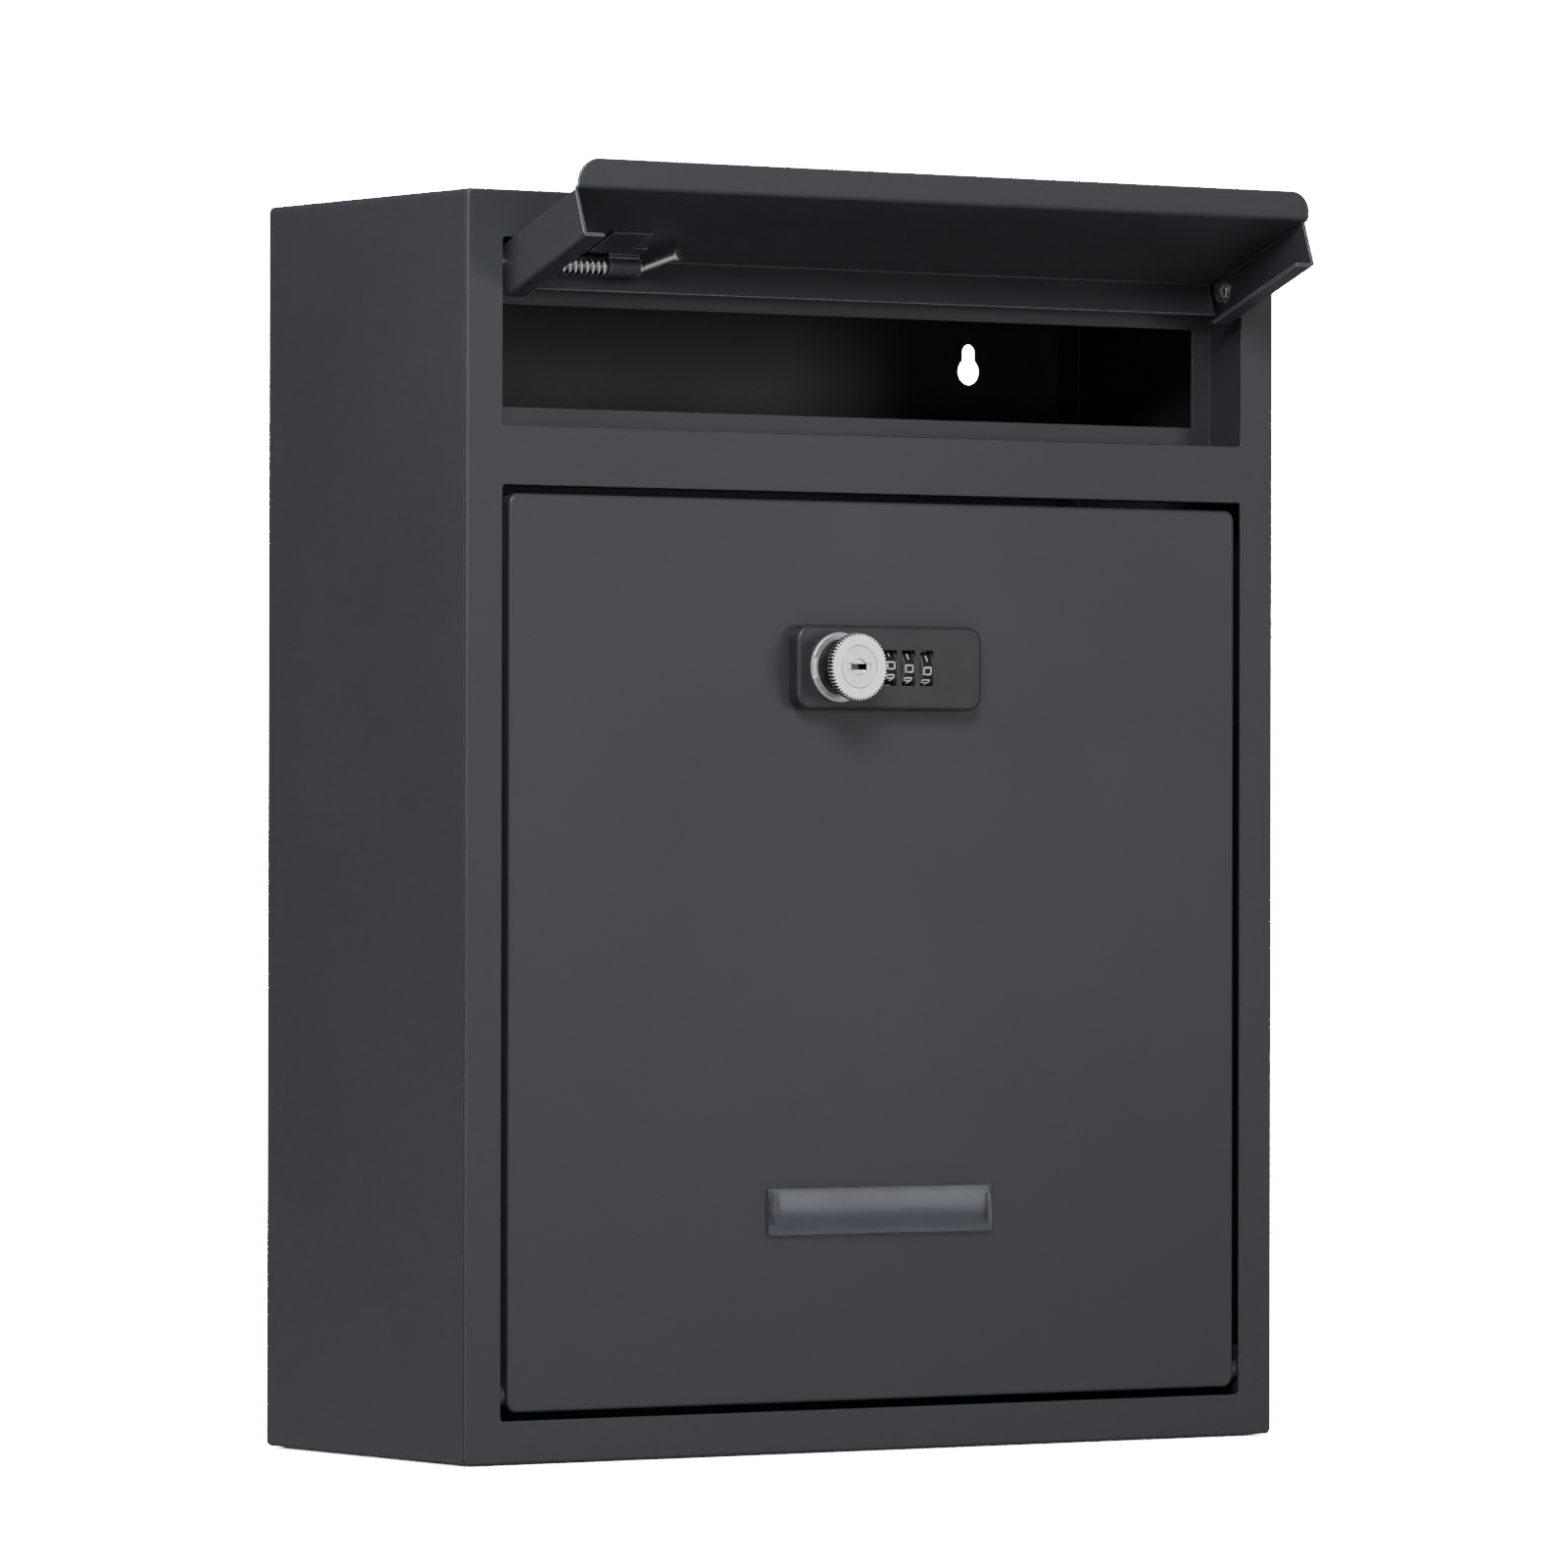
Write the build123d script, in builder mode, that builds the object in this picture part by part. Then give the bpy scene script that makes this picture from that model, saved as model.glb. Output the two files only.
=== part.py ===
from build123d import *
import math
import os

os.makedirs("parts", exist_ok=True)

# Parcel drop box of powder-coated sheet steel, for a wall or a shelf. A mail slot with a lifting
# flap is at the top of the front, and a drop-down door with a combination knob is below it.
# Frame: X across the front, the front faces -Y, +Z is up, origin at the centre of the base.
# All sizes are in millimetres. The flap is modelled open, the door shut and its lock undone.

# ---- Driving dimensions: carcass ----
box_width = 315.0
box_depth = 120.0
box_height = 400.0
sheet = 1.0             # thickness of every pressed sheet
shell_corner = 2.0      # outside radius of the body wrap's four corners
seam = 0.6              # joint line between the front panel and the body wrap
nest_gap = 0.1          # play between two nested sheets
panel_return = 12.0     # flanges folded back from the front and back panels
front_round = 0.8       # rounding of the front panel's outer edge
edge_round = 0.35       # rounding of a cut sheet edge under its paint

# ---- Driving dimensions: front panel ----
stile = 13.2            # width of the strip each side of the openings
top_rail = 15.0
middle_rail = 18.7
bottom_rail = 13.5
opening_corner = 1.2
slot_corner = 1.0

# ---- Driving dimensions: wall fixings ----
fixing_spacing = 237.0
keyhole_drop = 39.1     # box top down to the wall screw's seat
keyhole_slot_r = 2.75
keyhole_entry_r = 4.5
keyhole_travel = 6.4
lower_hole_r = 3.0
lower_hole_height = 40.0

# ---- Driving dimensions: flap ----
flap_length = 54.0      # hinge edge to lip fold
flap_side_gap = 2.3
flap_gap = 2.3          # shut flap to the slot's lower edge
flap_depth = 16.5       # side flanges, over their returns
flap_rear_depth = 12.0  # flange along the hinge edge
flap_return = 7.5
flap_open_angle = 20.5  # degrees above level when it lies against the top rail
lip_length = 8.6
lip_bend = 62.0         # degrees out of the flap's face
lip_corner = 7.5
bend_r = 1.5
hinge_from_face = 5.2   # hinge line behind the flap's face
hinge_from_edge = 5.0   # hinge line below the flap's hinge edge
open_stop_gap = 0.2
shut_stop_gap = 1.0     # shut flap's returns to the slot frame's back
flap_relief = 2.0       # corner notch between the rear flange and a side flange
flap_corner_cut = 2.5   # clears the slot frame as the flap swings

# ---- Driving dimensions: slot frame ----
jamb_set_back = 0.2
deck_drop = 0.5
head_room = 2.5
frame_flange = 9.0      # below the slot, behind the middle rail
side_lip = 7.3
lower_lip = 7.0
upper_lip = 22.5

# ---- Driving dimensions: flap hinge hardware ----
run_fit = 0.05          # radial clearance of a turning or sliding fit
press_fit = 0.02        # radial clearance of a fixed fit
pin_r = 1.75
pin_reach = 3.5         # beyond the slot frame's inner face
barrel_r = 3.2
barrel_length = 11.5
barrel_inset = 50.9     # flap's outer side to the barrel's inner end
leaf_length = 19.1      # hinge line to the leaf's front edge
leaf_width = 14.6
leaf_offset = 4.7       # barrel's inner end to the leaf's
leaf_sheet = 1.2
leaf_gap = 0.6          # leaf clear of the spring's coils
handle_length = 12.5
handle_angle = 60.0
handle_bend_r = 2.6
handle_gap = 0.4
handle_button_r = 2.2
handle_button = 1.2
ring_r = 3.4
ring_thickness = 1.2
ring_inset = 4.6        # flap's outer side to the retaining ring
spring_r = 2.85         # mean radius of the coil
spring_wire_r = 0.55
spring_turns = 15.0
spring_end_gap = 0.1
stud_r = 2.0
stud_head_r = 3.5
stud_head = 1.6
stud_reach = 3.5

# ---- Driving dimensions: door ----
door_gap = 2.6
door_return = 11.0
door_corner = 3.5
door_round = 0.9
door_pin_r = 2.5
door_pin_from_face = 4.5
door_pin_from_edge = 5.2
door_collar_r = 3.2
lug_sheet = 1.5
lug_height = 16.0
lug_depth = 14.0
lug_gap = 1.2           # stile's edge to the lug
lug_bend_r = 1.0
pin_inside = 3.5        # length of the pin inside the door

# ---- Driving dimensions: lock ----
lock_x = 0.15
lock_drop = 53.4        # door's top edge to the lock's centre line
plate_width = 71.8
plate_height = 27.0
plate_thickness = 5.5
plate_corner = 5.0
plate_round = 1.2
knob_offset = -19.95    # knob's axis from the plate's centre
collar_r = 11.2
collar_thickness = 1.0
collar_rim = 1.0
collar_notch = 36.0     # degrees of rim left bare at each side
neck_r = 8.6
neck_flare = 0.7
neck_gap = 0.3
knob_reach = 10.2       # collar's face to the disc's face
disc_r = 11.1
disc_thickness = 2.4
disc_bevel = 0.5
disc_teeth = 58
tooth_depth = 0.7
plug_r = 6.8
plug_length = 8.0
mouth_width = 9.0
mouth_height = 2.2
mouth_depth = 0.3
keyway_width = 6.0
keyway_height = 1.8
keyway_depth = 5.5
key_recess_r = 2.6
key_recess_depth = 0.6
spindle_r = 4.5
stud_end_r = 3.0
case_width = 68.0
case_height = 23.0
case_clear = 0.2        # the case's back short of the door's flanges
cam_gap = 0.8
cam_sheet = 1.6
cam_length = 62.0
cam_hub_r = 8.5
cam_tip_r = 6.0
nut_flats = 10.0
nut_thickness = 2.6
stud_end = 0.8
dial_count = 3
dial_first = -0.2       # first dial from the plate's centre
dial_pitch = 7.15
dial_r = 6.7
dial_rim_r = 7.0
dial_rim = 0.35
dial_width = 4.6
dial_proud = 0.8
dial_play = 0.5
window_height = 11.3
window_wall = 1.6
axle_r = 1.0
cheek = 1.5
screw_r = 1.5
screw_head_r = 2.8
screw_head = 1.8
screw_grip = 3.5
screw_inset = 4.3

# ---- Driving dimensions: label window ----
label_rise = 61.1       # door's lower edge to the window's centre line
label_width = 87.6
label_height = 15.2
label_base = 1.2
label_lens = 0.8
label_border = 1.6
label_corner = 1.2
clip_width = 8.0
clip_sheet = 1.5
clip_barb = 0.9
clip_inset = 2.2
clip_gap = 0.3

# ---- Places worked out from the sizes above ----
half_width = box_width / 2
front_y = -box_depth / 2
back_y = box_depth / 2
opening_half = half_width - stile
open_sin = math.sin(math.radians(flap_open_angle))
open_cos = math.cos(math.radians(flap_open_angle))
slot_top = box_height - top_rail
# The open flap's face comes to rest on the slot's upper edge.
hinge_drop = hinge_from_face * (1 + open_sin) / open_cos + open_stop_gap
hinge_y = front_y + hinge_from_face
hinge_z = slot_top - hinge_drop
slot_bottom = hinge_z + hinge_from_edge - flap_length - flap_gap
door_open_top = slot_bottom - middle_rail
door_open_bottom = bottom_rail
jamb_half = opening_half + jamb_set_back
flap_half = opening_half - flap_side_gap
stop_y = front_y + flap_depth + shut_stop_gap

rail_flange = door_return - sheet         # level with the door's flanges, the lock's cam catches behind it
case_depth = door_return - sheet - case_clear
panel_inside = half_width - 2 * (sheet + nest_gap)    # between the front panel's folded edges
panel_top = box_height - 2 * (sheet + nest_gap)
door_half = opening_half - door_gap
door_top = door_open_top - door_gap
door_bottom = door_open_bottom + door_gap
door_height = door_top - door_bottom
door_pin_y = front_y + door_pin_from_face
door_pin_z = door_bottom + door_pin_from_edge
lock_z = door_top - lock_drop
knob_x = lock_x + knob_offset
cam_y = front_y + door_return + cam_gap
dial_span = dial_width + (dial_count - 1) * dial_pitch
dial_middle = dial_first + (dial_count - 1) * dial_pitch / 2
axle_y = front_y - plate_thickness - dial_proud + dial_rim_r
label_z = door_bottom + label_rise

front_plane = Plane.XZ.offset(-front_y)                  # faces the front, local x, y are X, Z
back_plane = Plane.XZ.offset(-back_y)
lock_plane = Plane(origin=(lock_x, front_y, lock_z), x_dir=(1, 0, 0), z_dir=(0, -1, 0))
knob_plane = Plane(origin=(knob_x, front_y, lock_z), x_dir=(1, 0, 0), z_dir=(0, -1, 0))
label_plane = Plane(origin=(0, front_y, label_z), x_dir=(1, 0, 0), z_dir=(0, -1, 0))
# The flap's planes have their origin on the hinge line and lean with the open flap.
flap_plane = Plane(origin=(0, hinge_y, hinge_z), x_dir=(1, 0, 0), z_dir=(0, open_sin, open_cos))
flap_side = Plane(origin=(0, hinge_y, hinge_z), x_dir=(0, open_cos, -open_sin), z_dir=(1, 0, 0))
flap_end = Plane(origin=(0, hinge_y, hinge_z), x_dir=(1, 0, 0), z_dir=(0, -open_cos, open_sin))


def save(piece, name):
    """Label a finished piece and write it to its own file."""
    piece.part.label = name
    export_step(piece.part, f"parts/{name}.step")


# ---- Front panel: flat face with the slot and the door opening, flanges folded back ----
nest_width = box_width - 2 * (sheet + nest_gap)
nest_height = box_height - 2 * (sheet + nest_gap)
nest_corner = shell_corner - sheet

with BuildPart() as front_panel:
    with BuildSketch(front_plane):
        with Locations((0, box_height / 2)):
            RectangleRounded(box_width, box_height, shell_corner)
        with Locations((0, (slot_top + slot_bottom) / 2)):
            RectangleRounded(2 * opening_half, slot_top - slot_bottom, slot_corner, mode=Mode.SUBTRACT)
        with Locations((0, (door_open_top + door_open_bottom) / 2)):
            RectangleRounded(
                2 * opening_half, door_open_top - door_open_bottom, opening_corner, mode=Mode.SUBTRACT
            )
    extrude(amount=-sheet)
    face = front_panel.faces().sort_by(Axis.Y)[0]
    inner_edges = [edge for wire in face.inner_wires() for edge in wire.edges()]
    fillet(face.outer_wire().edges(), front_round)
    fillet(inner_edges, edge_round)
    with BuildSketch(front_plane.offset(-sheet)):
        with Locations((0, box_height / 2)):
            RectangleRounded(nest_width, nest_height, nest_corner)
            RectangleRounded(
                nest_width - 2 * sheet, nest_height - 2 * sheet, nest_corner / 2, mode=Mode.SUBTRACT
            )
    extrude(amount=-panel_return)
    with BuildSketch(front_plane.offset(-sheet)):
        with Locations((0, door_open_top + sheet / 2)):
            Rectangle(2 * (opening_half - opening_corner), sheet)
    extrude(amount=-rail_flange)
save(front_panel, "front_panel")

# ---- Body wrap: sides, top and bottom bent from one strip ----
with BuildPart() as body_shell:
    with BuildSketch(front_plane.offset(-sheet - seam)):
        with Locations((0, box_height / 2)):
            RectangleRounded(box_width, box_height, shell_corner)
            RectangleRounded(
                box_width - 2 * sheet, box_height - 2 * sheet, shell_corner - sheet, mode=Mode.SUBTRACT
            )
    extrude(amount=-(box_depth - sheet - seam))
    rear_face = body_shell.faces().sort_by(Axis.Y)[-1]
    fillet(rear_face.outer_wire().edges(), edge_round)
save(body_shell, "body_shell")

# ---- Back panel: keyholes above, round holes below, flanges folded forward ----
with BuildPart() as back_panel:
    with BuildSketch(back_plane):
        with Locations((0, box_height / 2)):
            RectangleRounded(nest_width, nest_height, nest_corner)
    extrude(amount=sheet)
    with BuildSketch(back_plane.offset(sheet)):
        with Locations((0, box_height / 2)):
            RectangleRounded(nest_width, nest_height, nest_corner)
            RectangleRounded(
                nest_width - 2 * sheet, nest_height - 2 * sheet, nest_corner / 2, mode=Mode.SUBTRACT
            )
    extrude(amount=panel_return)
    with BuildSketch(back_plane):
        with GridLocations(fixing_spacing, 0, 2, 1):
            with Locations((0, box_height - keyhole_drop)):
                Circle(keyhole_slot_r)
            with Locations((0, box_height - keyhole_drop - keyhole_travel / 2)):
                Rectangle(2 * keyhole_slot_r, keyhole_travel)
            with Locations((0, box_height - keyhole_drop - keyhole_travel)):
                Circle(keyhole_entry_r)
            with Locations((0, lower_hole_height)):
                Circle(lower_hole_r)
    extrude(amount=sheet, mode=Mode.SUBTRACT)
save(back_panel, "back_panel")

# ---- Slot frame: pocket behind the slot that carries the flap and stops it ----
frame_low = slot_bottom - deck_drop
frame_high = slot_top + head_room
frame_middle = (frame_low + frame_high) / 2
frame_height = frame_high - frame_low
flange_low = frame_low - sheet - frame_flange
aperture_low = slot_bottom + lower_lip - deck_drop
aperture_high = frame_high - upper_lip
aperture_half = jamb_half - side_lip

with BuildPart() as slot_frame:
    with BuildSketch(front_plane.offset(-sheet)):
        with Locations((0, (panel_top + flange_low) / 2)):
            Rectangle(2 * panel_inside, panel_top - flange_low)
        with Locations((0, frame_middle)):
            Rectangle(2 * jamb_half, frame_height, mode=Mode.SUBTRACT)
    extrude(amount=-sheet)
    with BuildSketch(front_plane.offset(-sheet)):
        with Locations((0, frame_middle)):
            Rectangle(2 * (jamb_half + sheet), frame_height + 2 * sheet)
            Rectangle(2 * jamb_half, frame_height, mode=Mode.SUBTRACT)
    extrude(amount=front_y + sheet - stop_y)
    with BuildSketch(Plane.XZ.offset(-stop_y)):
        with Locations((0, frame_middle)):
            Rectangle(2 * (jamb_half + sheet), frame_height + 2 * sheet)
        with Locations((0, (aperture_low + aperture_high) / 2)):
            Rectangle(2 * aperture_half, aperture_high - aperture_low, mode=Mode.SUBTRACT)
    extrude(amount=-sheet)
    with BuildSketch(Plane.YZ):
        with Locations((hinge_y, hinge_z)):
            Circle(pin_r + run_fit)
    extrude(amount=-half_width, mode=Mode.SUBTRACT)
    with BuildSketch(Plane.YZ):
        with Locations((hinge_y, hinge_z)):
            Circle(stud_r + run_fit)
    extrude(amount=half_width, mode=Mode.SUBTRACT)
save(slot_frame, "slot_frame")

# ---- Flap: pressed pan with a turned-out lip, a flange on each side and one at the hinge ----
face_b = hinge_from_face                  # flap's face above the hinge line, across the sheet
hinge_edge = hinge_from_edge              # along the flap, positive towards the hinge edge
fold_edge = hinge_from_edge - flap_length
lip_run = lip_length * math.cos(math.radians(lip_bend))
lip_rise = lip_length * math.sin(math.radians(lip_bend))

with BuildPart() as flap_pan:
    # Channel across the flap: face, two flanges and their returns.
    with BuildSketch(flap_end.offset(bend_r - hinge_edge)):
        with BuildLine():
            FilletPolyline(
                (flap_return - flap_half, face_b - flap_depth),
                (-flap_half, face_b - flap_depth),
                (-flap_half, face_b),
                (flap_half, face_b),
                (flap_half, face_b - flap_depth),
                (flap_half - flap_return, face_b - flap_depth),
                radius=bend_r,
            )
            offset(amount=sheet, side=Side.RIGHT)
        make_face()
    extrude(amount=flap_length - 2 * bend_r)
    # The side flanges' rear corners.
    with BuildSketch(flap_side):
        with BuildLine():
            Polyline(
                (hinge_edge, face_b - flap_depth),
                (hinge_edge, face_b - flap_depth + bend_r + flap_corner_cut),
                (hinge_edge - bend_r - flap_corner_cut, face_b - flap_depth),
                close=True,
            )
        make_face()
    extrude(amount=flap_half, both=True, mode=Mode.SUBTRACT)
    # Rear flange between two corner reliefs.
    with BuildSketch(flap_side):
        with BuildLine():
            FilletPolyline(
                (hinge_edge, face_b - flap_rear_depth),
                (hinge_edge, face_b),
                (hinge_edge - bend_r - sheet, face_b),
                radius=bend_r,
            )
            offset(amount=sheet, side=Side.LEFT)
        make_face()
    extrude(amount=flap_half - bend_r - flap_relief, both=True)
    # Lip, the full width of the flap.
    with BuildSketch(flap_side):
        with BuildLine():
            FilletPolyline(
                (fold_edge + bend_r, face_b),
                (fold_edge, face_b),
                (fold_edge - lip_run, face_b + lip_rise),
                radius=bend_r * math.tan(math.radians(lip_bend / 2)),
            )
            offset(amount=sheet, side=Side.LEFT)
        make_face()
    extrude(amount=flap_half, both=True)
    lip_tip = flap_side.from_local_coords((fold_edge - lip_run, face_b + lip_rise, 0))
    lip_corners = flap_pan.edges().filter_by(
        lambda e: abs(abs(e.center().X) - flap_half) < 0.01
        and (Vector(0, e.center().Y, e.center().Z) - Vector(0, lip_tip.Y, lip_tip.Z)).length < sheet
    )
    fillet(lip_corners, lip_corner)
    with BuildSketch(Plane.YZ):
        with Locations((hinge_y, hinge_z)):
            Circle(pin_r + run_fit)
    extrude(amount=-half_width, mode=Mode.SUBTRACT)
    with BuildSketch(Plane.YZ):
        with Locations((hinge_y, hinge_z)):
            Circle(stud_r + press_fit)
    extrude(amount=half_width, mode=Mode.SUBTRACT)
save(flap_pan, "flap_pan")

# ---- Rolled barrel: its leaf is welded under the flap and its roll guides the sliding pin ----
barrel_end = -flap_half + barrel_inset
barrel_start = barrel_end - barrel_length
under_face = face_b - sheet
leaf_start = spring_r + spring_wire_r + leaf_gap

with BuildPart() as barrel_leaf:
    with BuildSketch(flap_side.offset(barrel_start)):
        Circle(barrel_r)
        with Locations((-barrel_r / 2, (under_face + pin_r) / 2 + run_fit)):
            Rectangle(barrel_r, under_face - pin_r - 2 * run_fit)
        with Locations((-leaf_start, under_face - leaf_sheet / 2)):
            Rectangle(2 * leaf_start, leaf_sheet)
        Circle(pin_r + run_fit, mode=Mode.SUBTRACT)
    extrude(amount=barrel_length)
    with BuildSketch(flap_side.offset(barrel_end - leaf_offset - leaf_width)):
        with Locations((-(leaf_start + leaf_length) / 2, under_face - leaf_sheet / 2)):
            Rectangle(leaf_length - leaf_start, leaf_sheet)
    extrude(amount=leaf_width)
save(barrel_leaf, "barrel_leaf")

# ---- Sliding hinge pin: round bar, bent round as a pull, with a flattened end ----
pin_tip = -jamb_half - pin_reach
pull_turn = handle_bend_r * math.tan(math.radians(handle_angle / 2))
pull_x = barrel_end + handle_gap + pull_turn
pull_end_x = pull_x + handle_length * math.cos(math.radians(handle_angle))
pull_end_y = -handle_length * math.sin(math.radians(handle_angle))
pull_button = Plane(
    origin=flap_plane.from_local_coords((pull_end_x, pull_end_y, 0)),
    z_dir=flap_plane.from_local_coords((pull_end_x, pull_end_y, 0))
    - flap_plane.from_local_coords((pull_x, 0, 0)),
)

with BuildPart() as hinge_pin:
    with BuildLine(flap_plane) as pin_path:
        FilletPolyline((pin_tip, 0), (pull_x, 0), (pull_end_x, pull_end_y), radius=handle_bend_r)
    with BuildSketch(Plane(origin=pin_path.line @ 0, z_dir=pin_path.line % 0)):
        Circle(pin_r)
    sweep()
    with BuildSketch(pull_button):
        Circle(handle_button_r)
    extrude(amount=handle_button)
    chamfer(hinge_pin.edges().sort_by(Axis.X)[0], pin_r / 4)
save(hinge_pin, "hinge_pin")

ring_x = -flap_half + ring_inset
with BuildPart() as pin_ring:
    with BuildSketch(flap_side.offset(ring_x)):
        Circle(ring_r)
        Circle(pin_r + press_fit, mode=Mode.SUBTRACT)
    extrude(amount=ring_thickness)
save(pin_ring, "pin_ring")

# ---- Coil spring that pushes the pin out through the slot frame ----
spring_start = ring_x + ring_thickness + spring_end_gap + spring_wire_r
spring_end = barrel_start - spring_end_gap - spring_wire_r
spring_height = spring_end - spring_start

with BuildPart() as pin_spring:
    with BuildLine() as coil:
        Helix(
            pitch=spring_height / spring_turns,
            height=spring_height,
            radius=spring_r,
            center=(spring_start, hinge_y, hinge_z),
            direction=(1, 0, 0),
        )
    with BuildSketch(Plane(origin=coil.line @ 0, z_dir=coil.line % 0)):
        Circle(spring_wire_r)
    sweep(is_frenet=True)
save(pin_spring, "pin_spring")

# ---- Fixed hinge stud at the flap's right side ----
with BuildPart() as hinge_stud:
    with BuildSketch(flap_side.offset(flap_half - sheet - stud_head)):
        Circle(stud_head_r)
    extrude(amount=stud_head)
    with BuildSketch(flap_side.offset(flap_half - sheet)):
        Circle(stud_r)
    extrude(amount=jamb_half + stud_reach - flap_half + sheet)
    fillet(hinge_stud.edges().sort_by(Axis.X)[0], stud_head / 4)
    chamfer(hinge_stud.edges().sort_by(Axis.X)[-1], stud_r / 4)
save(hinge_stud, "hinge_stud")

# ---- Door: pressed pan with openings for the lock and the label window ----
dial_slot_width = dial_span + 2 * (dial_play + cheek + dial_play)
dial_slot_height = 2 * (dial_rim_r + dial_play)
screw_x = case_width / 2 - screw_inset

with BuildPart() as door_pan:
    with BuildSketch(front_plane):
        with Locations((0, (door_top + door_bottom) / 2)):
            RectangleRounded(2 * door_half, door_height, door_corner)
    extrude(amount=-door_return)
    face = door_pan.faces().sort_by(Axis.Y)[0]
    fillet(face.outer_wire().edges(), door_round)
    with BuildSketch(front_plane.offset(-sheet)):
        with Locations((0, (door_top + door_bottom) / 2)):
            RectangleRounded(2 * (door_half - sheet), door_height - 2 * sheet, door_corner - sheet)
    extrude(amount=-door_return, mode=Mode.SUBTRACT)
    with BuildSketch(lock_plane):
        with Locations((knob_offset, 0)):
            Circle(spindle_r + dial_play)
        with Locations((dial_middle, 0)):
            Rectangle(dial_slot_width, dial_slot_height)
        with GridLocations(2 * screw_x, 0, 2, 1):
            Circle(screw_r + run_fit)
    extrude(amount=-sheet, mode=Mode.SUBTRACT)
    with BuildSketch(label_plane):
        with GridLocations(label_width - 2 * clip_inset, 0, 2, 1):
            Rectangle(clip_sheet + 2 * clip_gap, clip_width + 2 * clip_gap)
    extrude(amount=-sheet, mode=Mode.SUBTRACT)
    with BuildSketch(Plane.YZ):
        with Locations((door_pin_y, door_pin_z)):
            Circle(door_pin_r + run_fit)
    extrude(amount=half_width, both=True, mode=Mode.SUBTRACT)
save(door_pan, "door_pan")

# ---- Door hinges: a lug behind each stile and a welded pin with a spacing collar ----
lug_inner = opening_half + lug_gap
lug_outer = lug_inner + lug_sheet
lug_low = door_pin_z - lug_height / 2


def mirrored(x, side):
    """The same distance from the middle, on the right (1) or the left (-1)."""
    return side * x


for side, hand in ((1, "right"), (-1, "left")):
    with BuildPart() as hinge_lug:
        with BuildSketch(Plane.XY.offset(lug_low)):
            with BuildLine():
                Polyline(
                    (mirrored(lug_inner, side), front_y + sheet + lug_depth),
                    (mirrored(lug_inner, side), front_y + sheet),
                    (mirrored(panel_inside, side), front_y + sheet),
                    (mirrored(panel_inside, side), front_y + sheet + lug_sheet),
                    (mirrored(lug_outer, side), front_y + sheet + lug_sheet),
                    (mirrored(lug_outer, side), front_y + sheet + lug_depth),
                    close=True,
                )
            make_face()
        extrude(amount=lug_height)
        rear_corners = hinge_lug.edges().filter_by(Axis.X).group_by(Axis.Y)[-1]
        fillet(rear_corners, lug_depth / 4)
        bend = hinge_lug.edges().filter_by(Axis.Z).filter_by(
            lambda e: abs(e.center().X) - lug_inner < 0.01 and e.center().Y < front_y + sheet + 0.01
        )
        fillet(bend, lug_bend_r)
        with BuildSketch(Plane.YZ):
            with Locations((door_pin_y, door_pin_z)):
                Circle(door_pin_r + press_fit)
        extrude(amount=half_width, both=True, mode=Mode.SUBTRACT)
    save(hinge_lug, f"hinge_lug_{hand}")

    with BuildPart() as door_pin:
        steps = (
            (door_half - sheet - pin_inside, lug_outer, door_pin_r),
            (door_half + nest_gap + run_fit, lug_inner - nest_gap, door_collar_r),
        )
        for low, high, radius in steps:
            with BuildSketch(Plane.YZ.offset(mirrored(low, side))):
                with Locations((door_pin_y, door_pin_z)):
                    Circle(radius)
            extrude(amount=mirrored(high - low, side))
        tip = door_pin.edges().sort_by(Axis.X)[0 if side > 0 else -1]
        chamfer(tip, door_pin_r / 5)
    save(door_pin, f"door_pin_{hand}")

# ---- Lock plate: cast housing on the door's face, hollow behind the dials ----
window_width = dial_width + dial_play
dial_hollow = plate_thickness - window_wall

with BuildPart() as lock_plate:
    with BuildSketch(lock_plane):
        RectangleRounded(plate_width, plate_height, plate_corner)
    extrude(amount=plate_thickness)
    face = lock_plate.faces().sort_by(Axis.Y)[0]
    fillet(face.outer_wire().edges(), plate_round)
    with BuildSketch(lock_plane):
        with Locations((dial_middle, 0)):
            Rectangle(dial_slot_width, dial_slot_height)
    extrude(amount=dial_hollow, mode=Mode.SUBTRACT)
    with BuildSketch(lock_plane):
        for dial in range(dial_count):
            with Locations((dial_first + dial * dial_pitch, 0)):
                Rectangle(window_width, window_height)
        with Locations((knob_offset, 0)):
            Circle(spindle_r + run_fit)
    extrude(amount=plate_thickness, mode=Mode.SUBTRACT)
    with BuildSketch(lock_plane):
        with GridLocations(2 * screw_x, 0, 2, 1):
            Circle(screw_r + press_fit)
    extrude(amount=screw_grip, mode=Mode.SUBTRACT)
save(lock_plate, "lock_plate")

# ---- Lock collar: chromed ring round the knob, its rim left bare at both sides ----
with BuildPart() as lock_collar:
    with BuildSketch(knob_plane.offset(plate_thickness)):
        Circle(collar_r)
        Circle(neck_r + neck_gap, mode=Mode.SUBTRACT)
    extrude(amount=collar_thickness)
    face = lock_collar.faces().sort_by(Axis.Y)[0]
    chamfer(face.outer_wire().edges(), collar_thickness / 3)
    notch_half = math.radians(collar_notch / 2)
    notch_depth = collar_r * 1.2
    with BuildSketch(knob_plane.offset(plate_thickness + collar_thickness / 4)):
        for side in (1, -1):
            with BuildLine():
                Polyline(
                    (0, 0),
                    (side * notch_depth * math.cos(notch_half), notch_depth * math.sin(notch_half)),
                    (side * notch_depth * math.cos(notch_half), -notch_depth * math.sin(notch_half)),
                    close=True,
                )
            make_face()
        Circle(neck_r + neck_gap + collar_rim, mode=Mode.SUBTRACT)
    extrude(amount=collar_thickness, mode=Mode.SUBTRACT)
save(lock_collar, "lock_collar")

# ---- Lock case behind the door, with cheeks that hold the dials' axle ----
hollow_back = axle_y + dial_rim_r + dial_play
cheek_front = axle_y - 2 * axle_r

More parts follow.
